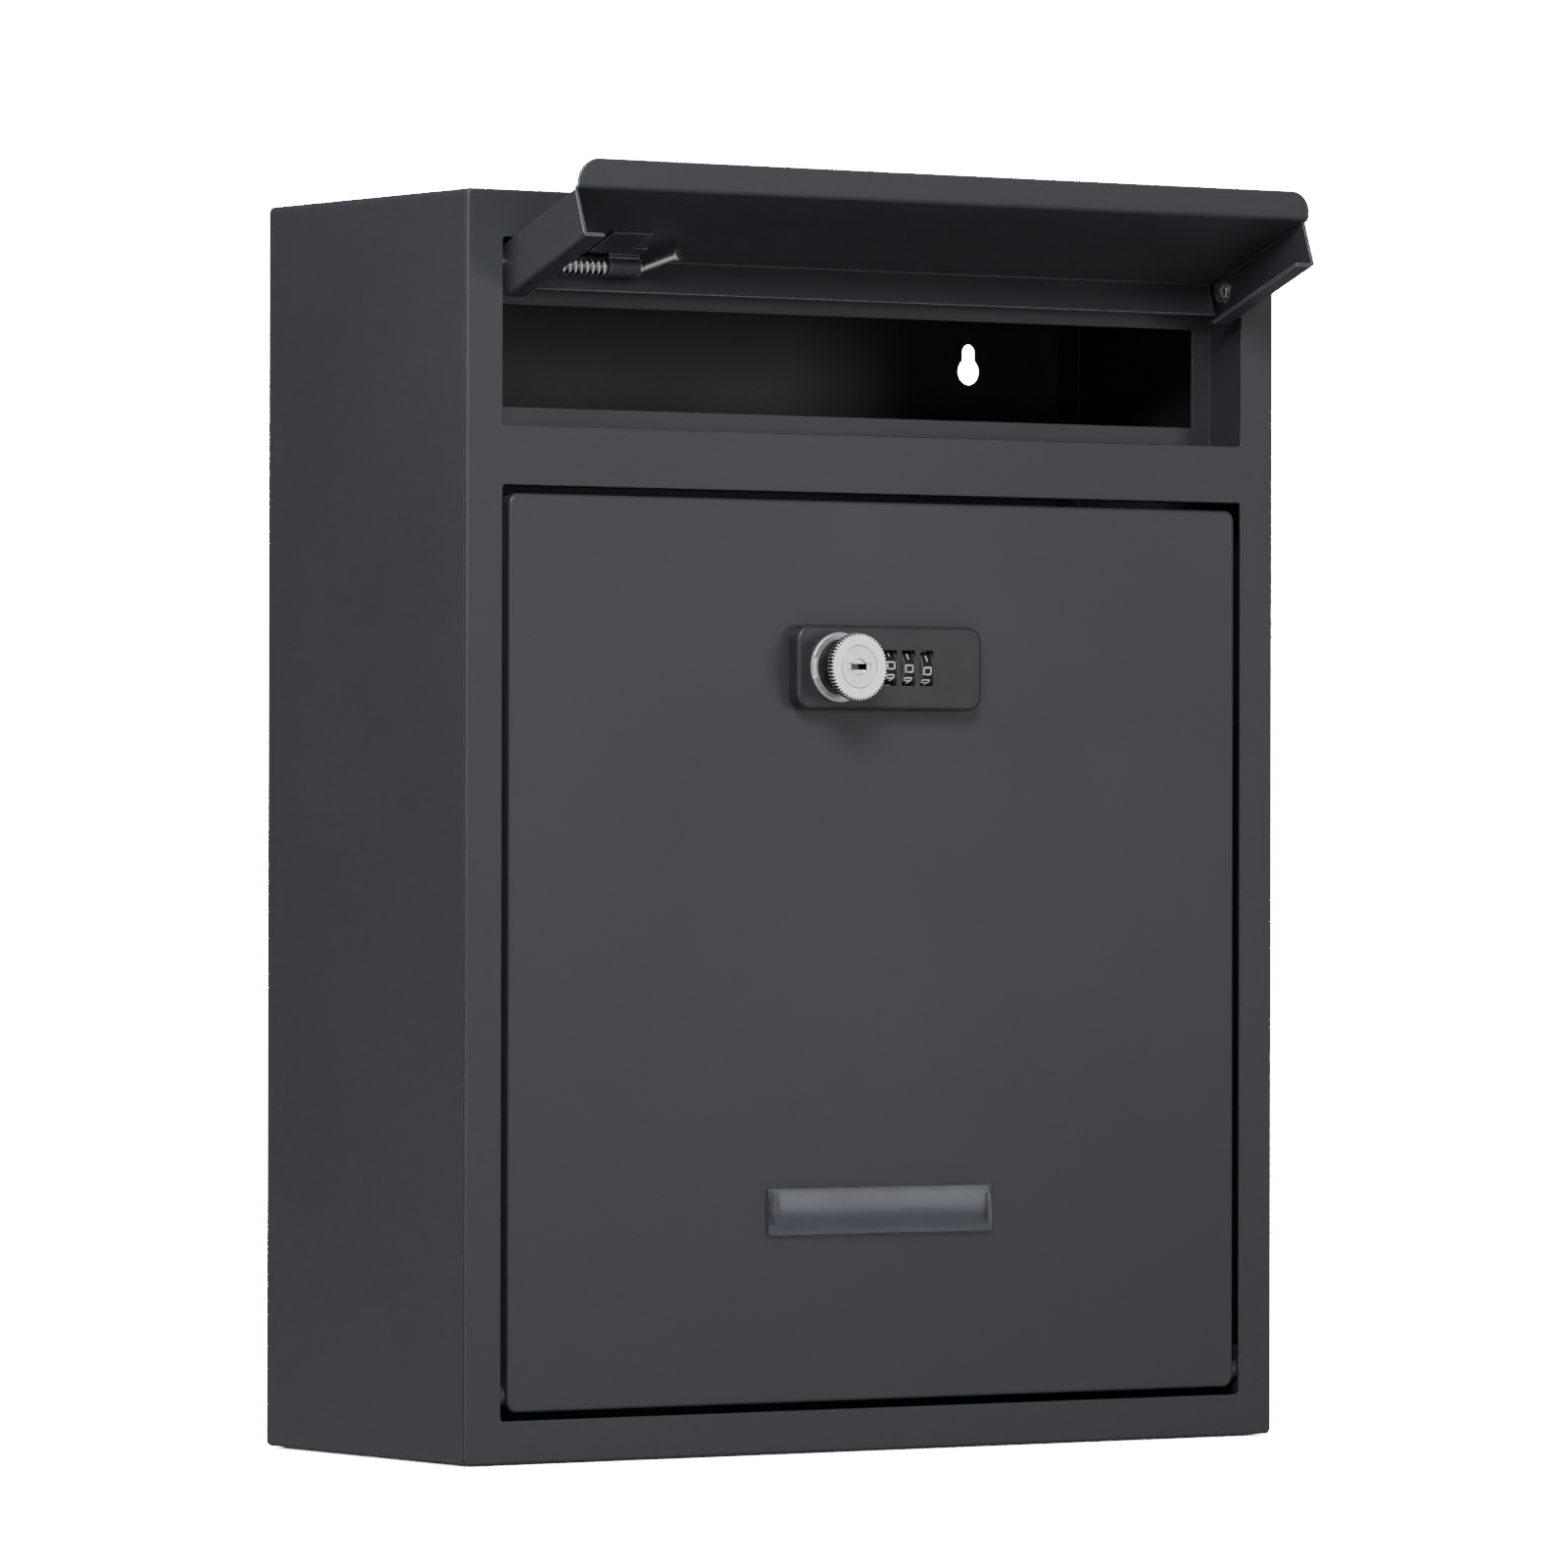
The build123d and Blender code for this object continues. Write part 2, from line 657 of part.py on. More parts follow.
with BuildPart() as lock_case:
    with BuildSketch(lock_plane.offset(-sheet)):
        RectangleRounded(case_width, case_height, plate_corner / 2)
    extrude(amount=-case_depth)
    with BuildSketch(lock_plane.offset(-sheet)):
        with Locations((dial_middle, 0)):
            Rectangle(dial_slot_width, dial_slot_height)
    extrude(amount=front_y + sheet - hollow_back, mode=Mode.SUBTRACT)
    cheek_x = dial_span / 2 + dial_play
    for cheek_start in (dial_middle - cheek_x - cheek, dial_middle + cheek_x):
        with BuildSketch(Plane.YZ.offset(lock_x + cheek_start)):
            with Locations(((cheek_front + hollow_back) / 2, lock_z)):
                Rectangle(hollow_back - cheek_front, dial_rim_r)
        extrude(amount=cheek)
    with BuildSketch(Plane.YZ.offset(lock_x + dial_middle)):
        with Locations((axle_y, lock_z)):
            Circle(axle_r + press_fit)
    extrude(amount=dial_span / 2 + dial_play + cheek, both=True, mode=Mode.SUBTRACT)
    with BuildSketch(knob_plane.offset(-sheet)):
        Circle(spindle_r + run_fit)
    extrude(amount=-case_depth, mode=Mode.SUBTRACT)
    with BuildSketch(lock_plane.offset(-sheet)):
        with GridLocations(2 * screw_x, 0, 2, 1):
            Circle(screw_r + press_fit)
    extrude(amount=-case_depth, mode=Mode.SUBTRACT)
    with BuildSketch(lock_plane.offset(-sheet - case_depth)):
        with GridLocations(2 * screw_x, 0, 2, 1):
            Circle(screw_head_r + run_fit)
    extrude(amount=screw_head + nest_gap, mode=Mode.SUBTRACT)
save(lock_case, "lock_case")

# ---- Two screws hold the case, the door's sheet and the plate together ----
with BuildPart() as lock_screws:
    head_plane = lock_plane.offset(-sheet - case_depth + nest_gap)
    with BuildSketch(head_plane):
        with GridLocations(2 * screw_x, 0, 2, 1):
            Circle(screw_head_r)
            Rectangle(screw_head_r, screw_r / 2, mode=Mode.SUBTRACT)
    extrude(amount=screw_head / 2)
    with BuildSketch(head_plane.offset(screw_head / 2)):
        with GridLocations(2 * screw_x, 0, 2, 1):
            Circle(screw_head_r)
    extrude(amount=screw_head / 2)
    with BuildSketch(head_plane.offset(screw_head)):
        with GridLocations(2 * screw_x, 0, 2, 1):
            Circle(screw_r)
    extrude(amount=case_depth - nest_gap - screw_head + sheet + screw_grip - nest_gap)
save(lock_screws, "lock_screws")

# ---- Dials on their axle ----
with BuildPart() as dial_axle:
    with BuildSketch(Plane.YZ.offset(lock_x + dial_middle)):
        with Locations((axle_y, lock_z)):
            Circle(axle_r)
    extrude(amount=dial_span / 2 + dial_play + cheek, both=True)
save(dial_axle, "dial_axle")

for dial in range(dial_count):
    dial_x = lock_x + dial_first + dial * dial_pitch
    with BuildPart() as dial_wheel:
        with BuildSketch(Plane.YZ.offset(dial_x)):
            with Locations((axle_y, lock_z)):
                Circle(dial_r)
        extrude(amount=dial_width / 2, both=True)
        for rim_x in (dial_x - dial_width / 2, dial_x + dial_width / 2 - dial_rim):
            with BuildSketch(Plane.YZ.offset(rim_x)):
                with Locations((axle_y, lock_z)):
                    Circle(dial_rim_r)
            extrude(amount=dial_rim)
        with BuildSketch(Plane.YZ.offset(dial_x)):
            with Locations((axle_y, lock_z)):
                Circle(axle_r + run_fit)
        extrude(amount=dial_width, both=True, mode=Mode.SUBTRACT)
    save(dial_wheel, f"dial_{dial + 1}")

# ---- Knob: black neck and spindle, chromed toothed disc, key plug ----
collar_face = plate_thickness + collar_thickness
disc_face = collar_face + knob_reach
disc_back = disc_face - disc_thickness
neck_start = plate_thickness + neck_gap
cam_front = front_y - cam_y

with BuildPart() as knob_spindle:
    with BuildSketch(knob_plane.offset(neck_start)):
        Circle(neck_r)
    with BuildSketch(knob_plane.offset(disc_back)):
        Circle(neck_r + neck_flare)
    loft()
    with BuildSketch(knob_plane.offset(cam_front)):
        Circle(spindle_r)
    extrude(amount=neck_start - cam_front)
    with BuildSketch(knob_plane.offset(cam_front)):
        Circle(stud_end_r)
    extrude(amount=-(cam_sheet + nut_thickness + stud_end))
    with BuildSketch(knob_plane.offset(disc_back)):
        Circle(plug_r + run_fit)
    extrude(amount=-(plug_length - disc_thickness + nest_gap), mode=Mode.SUBTRACT)
save(knob_spindle, "knob_spindle")

tooth_side = tooth_depth * math.sqrt(2)

with BuildPart() as knob_disc:
    with BuildSketch(knob_plane.offset(disc_back)):
        Circle(disc_r)
    extrude(amount=disc_thickness)
    chamfer(knob_disc.edges(), disc_bevel)
    with BuildSketch(knob_plane.offset(disc_back)):
        with PolarLocations(disc_r, disc_teeth):
            Rectangle(tooth_side, tooth_side, rotation=45)
        Circle(plug_r + run_fit)
    extrude(amount=disc_thickness, mode=Mode.SUBTRACT)
save(knob_disc, "knob_disc")

with BuildPart() as key_plug:
    with BuildSketch(knob_plane.offset(disc_face)):
        Circle(plug_r)
    extrude(amount=-plug_length)
    with BuildSketch(knob_plane.offset(disc_face)):
        Circle(key_recess_r)
    extrude(amount=-key_recess_depth, mode=Mode.SUBTRACT)
    with BuildSketch(knob_plane.offset(disc_face)):
        Rectangle(mouth_width, mouth_height)
    extrude(amount=-mouth_depth, mode=Mode.SUBTRACT)
    with BuildSketch(knob_plane.offset(disc_face)):
        Rectangle(keyway_width, keyway_height)
    extrude(amount=-keyway_depth, mode=Mode.SUBTRACT)
save(key_plug, "key_plug")

# ---- Cam and its nut at the spindle's inner end, the cam lying to the left when undone ----
with BuildPart() as lock_cam:
    with BuildSketch(knob_plane.offset(cam_front)):
        Circle(cam_hub_r)
        with Locations((-(cam_length - cam_tip_r) / 2, 0)):
            Rectangle(cam_length - cam_tip_r, 2 * cam_tip_r)
        with Locations((-(cam_length - cam_tip_r), 0)):
            Circle(cam_tip_r)
        Circle(stud_end_r + press_fit, mode=Mode.SUBTRACT)
    extrude(amount=-cam_sheet)
save(lock_cam, "lock_cam")

with BuildPart() as cam_nut:
    with BuildSketch(knob_plane.offset(cam_front - cam_sheet)):
        RegularPolygon(nut_flats / 2, 6, major_radius=False)
        Circle(stud_end_r + press_fit, mode=Mode.SUBTRACT)
    extrude(amount=-nut_thickness)
save(cam_nut, "cam_nut")

# ---- Label window: clear moulding with a raised lens, clipped through two slots ----
with BuildPart() as label_window:
    with BuildSketch(label_plane):
        RectangleRounded(label_width, label_height, label_corner)
    extrude(amount=label_base)
    with BuildSketch(label_plane.offset(label_base)):
        Rectangle(label_width - 4 * label_border, label_height - label_border)
    extrude(amount=label_lens)
    lens = label_window.faces().sort_by(Axis.Y)[0]
    fillet(lens.outer_wire().edges(), label_lens / 2)
    with BuildSketch(label_plane):
        with GridLocations(label_width - 2 * clip_inset, 0, 2, 1):
            Rectangle(clip_sheet, clip_width)
    extrude(amount=-(sheet + clip_gap + clip_barb))
    with BuildSketch(label_plane.offset(-sheet - clip_gap)):
        with GridLocations(label_width - 2 * clip_inset, 0, 2, 1):
            Rectangle(clip_sheet + 2 * (clip_gap + clip_barb), clip_width)
    extrude(amount=-clip_barb)
save(label_window, "label_window")
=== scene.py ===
import bpy
import math
from mathutils import Matrix, Vector


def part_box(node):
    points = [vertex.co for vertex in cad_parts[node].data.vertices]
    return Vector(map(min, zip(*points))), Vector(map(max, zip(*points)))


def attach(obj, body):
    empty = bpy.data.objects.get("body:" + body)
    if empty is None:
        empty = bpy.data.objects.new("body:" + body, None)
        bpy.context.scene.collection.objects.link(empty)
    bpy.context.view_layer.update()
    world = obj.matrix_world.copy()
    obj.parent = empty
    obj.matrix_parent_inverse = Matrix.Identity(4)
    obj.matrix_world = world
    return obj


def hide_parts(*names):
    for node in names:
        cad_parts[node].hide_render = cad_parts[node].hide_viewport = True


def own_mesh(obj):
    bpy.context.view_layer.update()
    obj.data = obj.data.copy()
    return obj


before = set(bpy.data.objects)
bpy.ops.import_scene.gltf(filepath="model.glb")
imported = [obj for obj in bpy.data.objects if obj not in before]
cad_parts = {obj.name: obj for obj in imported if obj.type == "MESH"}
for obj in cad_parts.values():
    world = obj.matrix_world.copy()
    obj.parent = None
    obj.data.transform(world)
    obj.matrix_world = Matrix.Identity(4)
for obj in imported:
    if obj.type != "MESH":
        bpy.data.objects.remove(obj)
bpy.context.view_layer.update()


# ---- Carcass: front panel, body wrap, back panel, slot frame and door hinge lugs ----
# One millimetre steel sheet, blanked, folded and spot welded, then powder coated as one piece in
# a satin anthracite. The coat is a little thinner where it wraps over a cut edge, and its edges
# are painted brighter as a highlight.
MM = 0.001
COAT_TONE = (0.036, 0.0385, 0.0445, 1)
COAT_EDGE_HIGHLIGHT = (0.075, 0.078, 0.085, 1)
COAT_GLOSS = 0.4
PEEL_SCALE = 900.0
GRAIN_SCALE = 2600.0
CLOUD_SCALE = 9.0
EDGE_BAND = 0.6 * MM
SOFT_EDGE = 0.35 * MM
BEVEL_SAMPLES = 6


def wire(tree, source, output, target, socket):
    """Join an output of one shader node to an input of another."""
    tree.links.new(source.outputs[output], target.inputs[socket])


def math_node(tree, operation, first=None, second=None, clamp=False):
    """A Math node; a number is set on its socket, a (node, output) pair is wired to it."""
    made = tree.nodes.new("ShaderNodeMath")
    made.operation = operation
    made.use_clamp = clamp
    for place, value in enumerate((first, second)):
        if isinstance(value, tuple):
            wire(tree, value[0], value[1], made, place)
        elif value is not None:
            made.inputs[place].default_value = value
    return made


def noise_node(tree, coordinates, scale, detail=2.0, stretch=None):
    """Noise on object coordinates, stretched along an axis if asked."""
    made = tree.nodes.new("ShaderNodeTexNoise")
    made.inputs["Scale"].default_value = scale
    made.inputs["Detail"].default_value = detail
    if stretch:
        mapping = tree.nodes.new("ShaderNodeMapping")
        mapping.inputs["Scale"].default_value = stretch
        wire(tree, coordinates, "Object", mapping, "Vector")
        wire(tree, mapping, "Vector", made, "Vector")
    else:
        wire(tree, coordinates, "Object", made, "Vector")
    return made


def colour_mix(tree, factor, first, second):
    """A colour between two, by a (node, output) factor; each colour is a value or a pair too."""
    made = tree.nodes.new("ShaderNodeMix")
    made.data_type = "RGBA"
    wire(tree, factor[0], factor[1], made, 0)
    for place, value in ((6, first), (7, second)):
        if isinstance(value[0], bpy.types.Node):
            wire(tree, value[0], value[1], made, place)
        else:
            made.inputs[place].default_value = value
    return made


def new_group(name, sockets):
    """A shader node group with named float or colour inputs and outputs."""
    group = bpy.data.node_groups.new(name, "ShaderNodeTree")
    for label, direction, kind, value in sockets:
        made = group.interface.new_socket(name=label, in_out=direction, socket_type=kind)
        if value is not None:
            made.default_value = value
    return group, group.nodes.new("NodeGroupInput"), group.nodes.new("NodeGroupOutput")


# Fine orange peel of a powder coat: its colour, roughness and height. Its edges are painted
# brighter, which stands for painted highlight along rounded edges and for thin or rubbed coat.
coat_group, given, put = new_group(
    "powder_coat",
    (
        ("Tone", "INPUT", "NodeSocketColor", COAT_TONE),
        ("Edge Tone", "INPUT", "NodeSocketColor", COAT_EDGE_HIGHLIGHT),
        ("Gloss", "INPUT", "NodeSocketFloat", COAT_GLOSS),
        ("Colour", "OUTPUT", "NodeSocketColor", None),
        ("Roughness", "OUTPUT", "NodeSocketFloat", None),
        ("Height", "OUTPUT", "NodeSocketFloat", None),
    ),
)
place = coat_group.nodes.new("ShaderNodeTexCoord")
peel = noise_node(coat_group, place, PEEL_SCALE, 3.0)
grain = noise_node(coat_group, place, GRAIN_SCALE, 2.0)
cloud = noise_node(coat_group, place, CLOUD_SCALE, 3.0)
rounded = coat_group.nodes.new("ShaderNodeBevel")
rounded.samples = BEVEL_SAMPLES
rounded.inputs["Radius"].default_value = EDGE_BAND
true_face = coat_group.nodes.new("ShaderNodeNewGeometry")
turn = coat_group.nodes.new("ShaderNodeVectorMath")
turn.operation = "DOT_PRODUCT"
wire(coat_group, rounded, "Normal", turn, 0)
wire(coat_group, true_face, "True Normal", turn, 1)
edge = math_node(coat_group, "SUBTRACT", 1.0, (turn, "Value"), clamp=True)
edge_broken = math_node(coat_group, "MULTIPLY", (edge, 0), (peel, "Fac"))
edge_mask = math_node(coat_group, "MULTIPLY", (edge_broken, 0), 4.5, clamp=True)
cloud_low = math_node(coat_group, "SUBTRACT", (cloud, "Fac"), 0.5)
cloud_part = math_node(coat_group, "MULTIPLY", (cloud_low, 0), 0.18)
grain_low = math_node(coat_group, "SUBTRACT", (grain, "Fac"), 0.5)
grain_part = math_node(coat_group, "MULTIPLY", (grain_low, 0), 0.5)
shade = math_node(coat_group, "ADD", (cloud_part, 0), (grain_part, 0))
shade_one = math_node(coat_group, "ADD", (shade, 0), 1.0)
toned = coat_group.nodes.new("ShaderNodeVectorMath")
toned.operation = "SCALE"
wire(coat_group, given, "Tone", toned, 0)
wire(coat_group, shade_one, 0, toned, "Scale")
# Painted highlight: edges are mixed towards the edge tone, which also stands for rubbed coat on
# the weld.
edge_wear_and_highlight = colour_mix(coat_group, (edge_mask, 0), (toned, 0), (given, "Edge Tone"))
wire(coat_group, edge_wear_and_highlight, 2, put, "Colour")
gloss_part = math_node(coat_group, "MULTIPLY", (grain_low, 0), 0.22)
gloss_cloud = math_node(coat_group, "ADD", (gloss_part, 0), (cloud_part, 0))
gloss_all = math_node(coat_group, "ADD", (given, "Gloss"), (gloss_cloud, 0), clamp=True)
wire(coat_group, gloss_all, 0, put, "Roughness")
height_grain = math_node(coat_group, "MULTIPLY", (grain, "Fac"), 0.55)
height_all = math_node(coat_group, "ADD", (peel, "Fac"), (height_grain, 0))
wire(coat_group, height_all, 0, put, "Height")


def new_material(name):
    """An empty node material and its Principled shader."""
    made = bpy.data.materials.new(name)
    made.use_nodes = True
    return made, made.node_tree, made.node_tree.nodes["Principled BSDF"]


def bump(tree, shader, source, output, strength, distance):
    """Feed a height to the shader's normal, over a softly rounded edge."""
    made = tree.nodes.new("ShaderNodeBump")
    made.inputs["Strength"].default_value = strength
    made.inputs["Distance"].default_value = distance
    soft = tree.nodes.new("ShaderNodeBevel")
    soft.samples = BEVEL_SAMPLES
    soft.inputs["Radius"].default_value = SOFT_EDGE
    wire(tree, soft, "Normal", made, "Normal")
    wire(tree, source, output, made, "Height")
    wire(tree, made, "Normal", shader, "Normal")


def coat_material(name, tone, edge_tone, gloss, relief):
    """Powder coat of one tone."""
    made, tree, shader = new_material(name)
    coat = tree.nodes.new("ShaderNodeGroup")
    coat.node_tree = coat_group
    coat.inputs["Tone"].default_value = tone
    coat.inputs["Edge Tone"].default_value = edge_tone
    coat.inputs["Gloss"].default_value = gloss
    wire(tree, coat, "Colour", shader, "Base Color")
    wire(tree, coat, "Roughness", shader, "Roughness")
    bump(tree, shader, coat, "Height", 0.35, relief)
    shader.inputs["IOR"].default_value = 1.5
    return made


anthracite = coat_material("anthracite_coat", COAT_TONE, COAT_EDGE_HIGHLIGHT, 0.42, 0.04 * MM)


def finish_nodes(material, *names):
    """Give CAD nodes a material."""
    for name in names:
        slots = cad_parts[name].data.materials
        slots.clear()
        slots.append(material)


finish_nodes(
    anthracite,
    "front_panel",
    "body_shell",
    "back_panel",
    "slot_frame",
    "hinge_lug_left",
    "hinge_lug_right",
)


# ---- Door hinge pins, lock screws, axle, cam and nut ----
# Turned and pressed steel with a bright zinc plate, which has a faint crystal bloom and
# fine turning lines. The door's pins are welded to their lugs and coated with the carcass.
def vary_colour(tree, shader, noise, first, second):
    """Drift the shader's colour between two by a noise."""
    mixed = colour_mix(tree, (noise, "Fac"), first, second)
    wire(tree, mixed, 2, shader, "Base Color")


def vary_roughness(tree, shader, noise, spread, least):
    """Drift the shader's roughness upwards from its least by a noise."""
    drift = math_node(tree, "MULTIPLY", (noise, "Fac"), spread)
    rough = math_node(tree, "ADD", (drift, 0), least, clamp=True)
    wire(tree, rough, 0, shader, "Roughness")


def plated_material(name, tone, dull, bloom):
    """Zinc or nickel plate: bright metal with soft patches and fine lines."""
    made, tree, shader = new_material(name)
    where = tree.nodes.new("ShaderNodeTexCoord")
    patches = noise_node(tree, where, 420.0, 4.0)
    lines = noise_node(tree, where, 5200.0, 1.0, (0.15, 1.0, 1.0))
    deep = tuple(c * 0.7 for c in tone[:3]) + (1,)
    vary_colour(tree, shader, patches, deep, tone)
    vary_roughness(tree, shader, patches, bloom, dull)
    shader.inputs["Metallic"].default_value = 1.0
    bump(tree, shader, lines, "Fac", 0.2, 0.02 * MM)
    return made


zinc = plated_material("zinc_plate", (0.74, 0.75, 0.76, 1), 0.16, 0.3)
finish_nodes(anthracite, "door_pin_left", "door_pin_right")
finish_nodes(zinc, "lock_screws", "lock_cam", "cam_nut", "dial_axle")


# ---- Flap: pressed pan, its lip, flanges and the welded barrel ----
# The same sheet and coat as the carcass, with a painted highlight along its cut edges.
# The barrel is a rolled leaf, coated with the flap.
# Painted highlight: the flap's cut edges are coloured a light grey.
FLAP_EDGE_HIGHLIGHT = (0.5, 0.505, 0.52, 1)
flap_coat = coat_material("flap_coat", COAT_TONE, FLAP_EDGE_HIGHLIGHT, 0.42, 0.04 * MM)
finish_nodes(flap_coat, "flap_pan", "barrel_leaf")


def deselect():
    """Leave edit mode with nothing selected."""
    if bpy.context.object and bpy.context.object.mode != "OBJECT":
        bpy.ops.object.mode_set(mode="OBJECT")
    bpy.ops.object.select_all(action="DESELECT")


def pick(piece):
    """Select one piece alone and make it the active one."""
    deselect()
    piece.select_set(True)
    bpy.context.view_layer.objects.active = piece


def named(name):
    """Name the object that an operator has just made, and its mesh."""
    made = bpy.context.object
    made.name = name
    made.data.name = name
    return made


def settle(piece, body, material):
    """Put the piece's place into its mesh and make it ride on its body."""
    pick(piece)
    bpy.ops.object.transform_apply(location=True, rotation=True, scale=True)
    piece.data.materials.clear()
    piece.data.materials.append(material)
    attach(piece, body)


def apply_modifiers(piece):
    """Apply every modifier of a piece in order."""
    pick(piece)
    for modifier in list(piece.modifiers):
        bpy.ops.object.modifier_apply(modifier=modifier.name)


# ---- Weld on the flap's fixed stud ----
# A plain steel stud carries the flap's right end. Its head is puddle welded to the side flange
# by hand, and the coat goes over the lumps.
WELD_RADIUS = 4.0 * MM
WELD_INSET = 1.7 * MM
WELD_FLATNESS = 0.55
WELD_LUMP_SIZE = 1.3 * MM
WELD_LUMP_HEIGHT = 3.0 * MM
WELD_TONE = (0.09, 0.092, 0.096, 1)
WELD_RUBBED = (0.4, 0.405, 0.41, 1)
stud_low, stud_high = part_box("hinge_stud")
stud_centre = (stud_low + stud_high) / 2
deselect()
bpy.ops.mesh.primitive_uv_sphere_add(
    segments=40,
    ring_count=24,
    radius=WELD_RADIUS,
    location=(stud_low.x + WELD_INSET, stud_centre.y, stud_centre.z),
)
stud_weld = named("stud_weld")
stud_weld.scale = (WELD_FLATNESS, 1.0, 1.0)
bpy.ops.object.transform_apply(location=False, rotation=False, scale=True)
lumps = bpy.data.textures.new("weld_lumps", "CLOUDS")
lumps.noise_scale = WELD_LUMP_SIZE
lumps.noise_depth = 2
shaken = stud_weld.modifiers.new("lumps", "DISPLACE")
shaken.texture = lumps
shaken.texture_coords = "LOCAL"
shaken.strength = WELD_LUMP_HEIGHT
shaken.mid_level = 0.55
apply_modifiers(stud_weld)
bpy.ops.object.shade_smooth()
weld_coat = coat_material("weld_coat", WELD_TONE, WELD_RUBBED, 0.3, 0.12 * MM)
settle(stud_weld, "flap", weld_coat)
finish_nodes(zinc, "hinge_stud")


# ---- Sliding hinge pin, its ring and its spring ----
# Bright zinc plated bar, bent round as a pull and flattened at the end. The spring is drawn
# wire, wound on the pin between the retaining ring and the welded barrel.
SPRING_WIRE = 0.55 * MM
SPRING_RADIUS = 2.85 * MM
SPRING_TURNS = 15
BARREL_LENGTH = 11.5 * MM


def face_outwards():
    """Turn every face of the active piece outwards and leave edit mode."""
    bpy.ops.object.mode_set(mode="EDIT")
    bpy.ops.mesh.select_all(action="SELECT")
    bpy.ops.mesh.normals_make_consistent(inside=False)
    bpy.ops.object.mode_set(mode="OBJECT")


finish_nodes(zinc, "hinge_pin", "pin_ring")
ring_low, ring_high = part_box("pin_ring")
hinge_y = (ring_low.y + ring_high.y) / 2
hinge_z = (ring_low.z + ring_high.z) / 2
spring_start = ring_high.x + SPRING_WIRE
barrel_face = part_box("barrel_leaf")[1].x - BARREL_LENGTH
spring_end = barrel_face - SPRING_WIRE
deselect()
bpy.ops.mesh.primitive_circle_add(vertices=10, radius=SPRING_WIRE, location=(0, 0, 0))
pin_coil = named("pin_coil")
for point in pin_coil.data.vertices:
    point.co = Vector((point.co.x, 0, point.co.y + SPRING_RADIUS))
wound = pin_coil.modifiers.new("wound", "SCREW")
wound.axis = "X"
wound.angle = math.radians(360)
wound.screw_offset = (spring_end - spring_start) / SPRING_TURNS
wound.iterations = SPRING_TURNS
wound.steps = 28
wound.render_steps = 28
wound.use_merge_vertices = False
apply_modifiers(pin_coil)
bpy.ops.object.mode_set(mode="EDIT")
bpy.ops.mesh.select_all(action="DESELECT")
bpy.ops.mesh.select_mode(type="EDGE")
bpy.ops.mesh.select_non_manifold()
bpy.ops.mesh.edge_face_add()
face_outwards()
bpy.ops.object.shade_smooth_by_angle(angle=math.radians(50))
pin_coil.location = (spring_start, hinge_y, hinge_z)
bright_wire = plated_material("bright_wire", (0.86, 0.87, 0.88, 1), 0.1, 0.16)
settle(pin_coil, "flap", bright_wire)
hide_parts("pin_spring")
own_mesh(pin_coil)


# ---- Door ----
# A pan of the same sheet and coat, folded back along its edges, a shade smoother on its large
# flat face. It turns on two pins at its lower corners.
door_coat = coat_material("door_coat", COAT_TONE, COAT_EDGE_HIGHLIGHT, 0.4, 0.035 * MM)
finish_nodes(door_coat, "door_pan")


# ---- Lock plate and lock case ----
# Injection moulded housings, black with a fine spark-eroded texture. The plate is on the door's
# face and the case behind it, with the door's sheet clamped between them.
def moulded_material(name, tone, gloss, texture_scale, relief):
    """Moulded plastic with a fine eroded texture."""
    made, tree, shader = new_material(name)
    where = tree.nodes.new("ShaderNodeTexCoord")
    spark = noise_node(tree, where, texture_scale, 2.0)
    haze = noise_node(tree, where, 60.0, 3.0)
    lighter = tuple(min(1.0, c * 1.35) for c in tone[:3]) + (1,)
    vary_colour(tree, shader, haze, tone, lighter)
    vary_roughness(tree, shader, spark, 0.14, gloss - 0.07)
    bump(tree, shader, spark, "Fac", 0.3, relief)
    return made


plate_black = moulded_material("plate_black", (0.024, 0.025, 0.0275, 1), 0.4, 3400.0, 0.03 * MM)
case_black = moulded_material("case_black", (0.012, 0.012, 0.013, 1), 0.5, 2600.0, 0.05 * MM)
finish_nodes(plate_black, "lock_plate")
finish_nodes(case_black, "lock_case")


# ---- Lock collar ----
# A flat zinc die casting with a dull chrome plate, pressed on the plate round the knob and
# faintly smeared by fingers.
chrome, tree, shader = new_material("polished_chrome")
where = tree.nodes.new("ShaderNodeTexCoord")
smears = noise_node(tree, where, 240.0, 3.0)
vary_colour(tree, shader, smears, (0.72, 0.73, 0.75, 1), (0.9, 0.91, 0.92, 1))
vary_roughness(tree, shader, smears, 0.14, 0.45)
shader.inputs["Metallic"].default_value = 1.0
fine = noise_node(tree, where, 3000.0, 2.0)
bump(tree, shader, fine, "Fac", 0.12, 0.01 * MM)
finish_nodes(chrome, "lock_collar")


# ---- Knob disc and key plug ----
# Turned faces with a satin chrome and a nickel plate: fine rings from the lathe are centred on
# the knob's own axis. The gaps between the disc's teeth are painted dark as shade, and the keyway
# is painted near black as shade.
TEETH = 58
TOOTH_ROOT = 10.0 * MM
KEYWAY_HALF_WIDTH = 3.1 * MM
KEYWAY_HALF_HEIGHT = 1.0 * MM
KEYWAY_STEP = 0.7 * MM
TOOTH_GAP_SHADE = (0.03, 0.03, 0.03, 1)
KEYWAY_SHADE = (0.001, 0.001, 0.001, 1)
disc_low, disc_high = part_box("knob_disc")
disc_centre = (disc_low + disc_high) / 2


def knob_axes(tree):
    """Object coordinates, with X and Z measured from the knob's axis."""
    where = tree.nodes.new("ShaderNodeTexCoord")
    centred = tree.nodes.new("ShaderNodeMapping")
    centred.inputs["Location"].default_value = (-disc_centre.x, 0, -disc_centre.z)
    wire(tree, where, "Object", centred, "Vector")
    parts = tree.nodes.new("ShaderNodeSeparateXYZ")
    wire(tree, centred, "Vector", parts, 0)
    return parts


